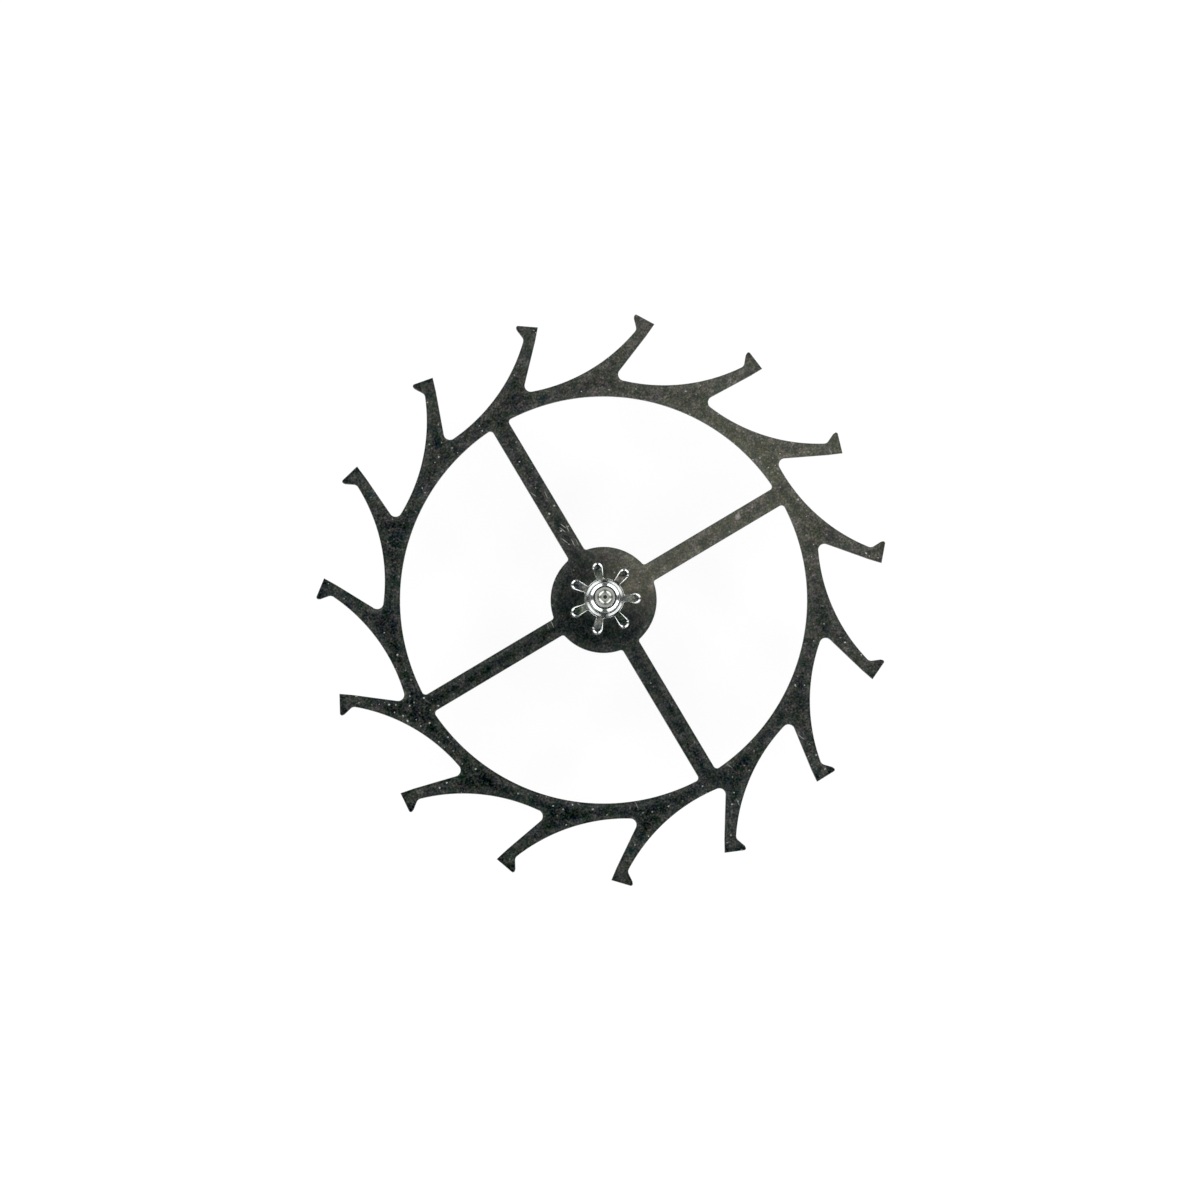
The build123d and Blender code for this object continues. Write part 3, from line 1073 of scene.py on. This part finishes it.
mesh = bmesh.new()
_, on_wheel = spin(mesh, lower_profile, BURNISHED)
sink_rim, _ = spin(mesh, upper_profile, BURNISHED)
foot = add_ring(mesh, leaf_outline, wheel_front)
brow = foot
for width, drop in bevel_shares:
    below = brow
    brow = add_ring(mesh, inset(leaf_outline, bevel_width * width, edge_shares), leaf_face)
    for corner, share in zip(brow, edge_shares):
        corner.co.z -= bevel_width * drop * share
    join_rings(mesh, below, brow, FLANK)
cap(mesh, [foot, on_wheel], TOP)
cap(mesh, [brow, sink_rim], TOP)
mesh.normal_update()
# By their direction alone, faces square to the axis take the material painted dark as a dark reflection.
for face in mesh.faces:
    if abs(face.normal.z) > flat_enough:
        face.material_index = TOP
pinion = make_piece(mesh, "turned_pinion", [burnished_steel, leaf_flank, leaf_top])

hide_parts("escape_pinion")
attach(pinion, "root")

# %% [markdown]
# ## Floor and light
#
# The wheel stands on a white sheet. A white sheet under soft light looks light grey, so
# for the camera, and for what the steel mirrors, part of its brightness is its own. The
# rest is lit as usual and keeps the wheel's soft shadow. From below the sheet is clear,
# so that the underside can be looked at too.

# %% Floor
floor_size = 600 * MM
own_light = 0.83  # of full white
lit_white, dim_white = hex_colour("#ebebeb"), hex_colour("#7f7f7f")


def make_paper():
    material, tree, _ = new_material("white_paper")
    rays = add_node(tree, "ShaderNodeLightPath")
    seen = add_node(tree, "ShaderNodeMath", {
        0: rays.outputs["Is Camera Ray"], 1: rays.outputs["Is Glossy Ray"]}, operation="MAXIMUM")
    seen = add_node(tree, "ShaderNodeMath", {
        0: seen, 1: rays.outputs["Is Transmission Ray"]}, operation="MAXIMUM")
    sheet = add_node(tree, "ShaderNodeBsdfDiffuse", {"Color": lit_white})
    dim_sheet = add_node(tree, "ShaderNodeBsdfDiffuse", {"Color": dim_white})
    glow = add_node(tree, "ShaderNodeEmission", {"Strength": own_light})
    lifted = add_node(tree, "ShaderNodeAddShader", {0: dim_sheet, 1: glow})
    paper = add_node(tree, "ShaderNodeMixShader", {0: seen, 1: sheet, 2: lifted})
    below = add_node(tree, "ShaderNodeNewGeometry").outputs["Backfacing"]
    clear = add_node(tree, "ShaderNodeBsdfTransparent")
    one_way = add_node(tree, "ShaderNodeMixShader", {0: below, 1: paper, 2: clear})
    add_node(tree, "ShaderNodeOutputMaterial", {"Surface": one_way})
    return material


mesh = bmesh.new()
half = floor_size / 2
corners = [(-half, -half), (half, -half), (half, half), (-half, half)]
mesh.faces.new([mesh.verts.new((x, y, lower_tip * MM)) for x, y in corners])
floor_mesh = bpy.data.meshes.new("floor")
mesh.to_mesh(floor_mesh)
mesh.free()
floor_mesh.materials.append(make_paper())
floor = bpy.data.objects.new("floor", floor_mesh)
bpy.context.collection.objects.link(floor)
floor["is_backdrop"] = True
print(f"floor {floor_size:.1f} m wide, under the lower pivot at {lower_tip:.3f} mm")

# %% [markdown]
# The sky is brightest straight overhead, where a flat face mirrors it and keeps its
# written colour, and grey lower down. At the horizon and below it is light again, as a
# plain background.

# %% Sky
sky_levels = [  # by height, from 0 at the horizon to 1 straight overhead
    (0.0, "#f3f3f3"), (0.04, "#f3f3f3"), (0.12, "#626262"), (0.72, "#626262"), (0.92, "#ffffff")]

sky = bpy.data.worlds.new("soft_sky")
sky.use_nodes = True
sky.node_tree.nodes.clear()
direction = add_node(sky.node_tree, "ShaderNodeTexCoord").outputs["Generated"]
up = add_node(sky.node_tree, "ShaderNodeSeparateXYZ", {0: direction}).outputs["Z"]
level = add_node(sky.node_tree, "ShaderNodeValToRGB", {0: up}, stops=sky_levels)
background = add_node(sky.node_tree, "ShaderNodeBackground", {"Color": level})
add_node(sky.node_tree, "ShaderNodeOutputWorld", {"Surface": background})
bpy.context.scene.world = sky
print(f"sky in {len(sky_levels)} levels")

# %% [markdown]
# Four soft boxes lean over the wheel. Only slopes and round edges mirror them, so these
# turn white. Where no box stands, the same rings stay grey, which gives the four gaps
# that the photograph shows.

# %% Soft boxes
photo_turn = 30.8  # from the photograph's right to the first arm
box_count = 4
first_box = 45  # degrees from the photograph's right
box_elevation = 33  # degrees over the floor
box_distance = 50 * MM
box_width, box_height = 50 * MM, 13 * MM
box_radiance = 4.4  # where 1 is white

lean = radians(box_elevation)
for i in range(box_count):
    turn = first_box + i * 360 / box_count - photo_turn
    lamp_data = bpy.data.lights.new(f"soft_box_{i}", "AREA")
    lamp_data.shape = "RECTANGLE"
    lamp_data.size, lamp_data.size_y = box_width, box_height
    lamp_data.energy = box_radiance * pi * box_width * box_height  # watts that give that radiance
    lamp = bpy.data.objects.new(f"soft_box_{i}", lamp_data)
    lamp.location = (*(ray(turn) * box_distance * cos(lean)), box_distance * sin(lean))
    lamp.rotation_euler = lamp.location.to_track_quat("Z", "Y").to_euler()  # a lamp shines along its -Z
    lamp.visible_camera = False
    bpy.context.collection.objects.link(lamp)
print(f"{box_count} soft boxes of {lamp_data.energy:.3f} W")

# %% [markdown]
# ## Camera
#
# The photograph looks almost straight down the axis. The leaves hide a sliver of the
# wheel on one side only, and that gives the tilt: the upper pivot has moved by 3.5
# pixels, so the lens is one degree off the axis. The camera is far away with a long
# lens, as for a macro picture, and its roll puts the first arm where the photograph
# has it.

# %% Camera
photo_pixels = 1200
pixels_per_mm = 124.93  # on the wheel's front face
wheel_in_photo = Vector((603.66, 599.87))  # where the wheel's centre is, in pixels from the top left
camera_distance = 150  # mm
camera_tilt = 0.99  # degrees off the axis
camera_side = 212  # the side of the axis that the lens is on, from the first arm
near_clip, far_clip = 10 * MM, 1000 * MM

right = Vector((*ray(-photo_turn), 0))
above = Vector((*ray(90 - photo_turn), 0))
offset = (Vector((photo_pixels, photo_pixels)) / 2 - wheel_in_photo) / pixels_per_mm
target = Vector((0, 0, wheel_front)) + right * offset.x - above * offset.y
lean = radians(camera_tilt)
back = Vector((*(ray(camera_side) * sin(lean)), cos(lean)))

camera_data = bpy.data.cameras.new("camera")
camera_data.sensor_width = 36  # mm, as on a film camera
camera_data.lens = pixels_per_mm * camera_data.sensor_width / photo_pixels * camera_distance
camera_data.clip_start, camera_data.clip_end = near_clip, far_clip
camera = bpy.data.objects.new("camera", camera_data)
camera.location = (target + back * camera_distance) * MM
side = above.cross(back).normalized()
camera.rotation_euler = Matrix((side, back.cross(side), back)).transposed().to_euler()
bpy.context.collection.objects.link(camera)
bpy.context.scene.camera = camera
bpy.context.scene.view_settings.view_transform = "Standard"
print(f"lens {camera_data.lens:.0f} mm at {camera_distance} mm")

# %% [markdown]
# ## Sizes
#
# Both boxes, of the working model and of the visible pieces, are printed side by side.
# The visible pieces have to stay inside the working model's box.

# %% Print the sizes
visual_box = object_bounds()
for name, box in [("working model", cad_box), ("visual model", visual_box)]:
    print(f"{name}, mm:", [[round(value / MM, 4) for value in corner] for corner in box])
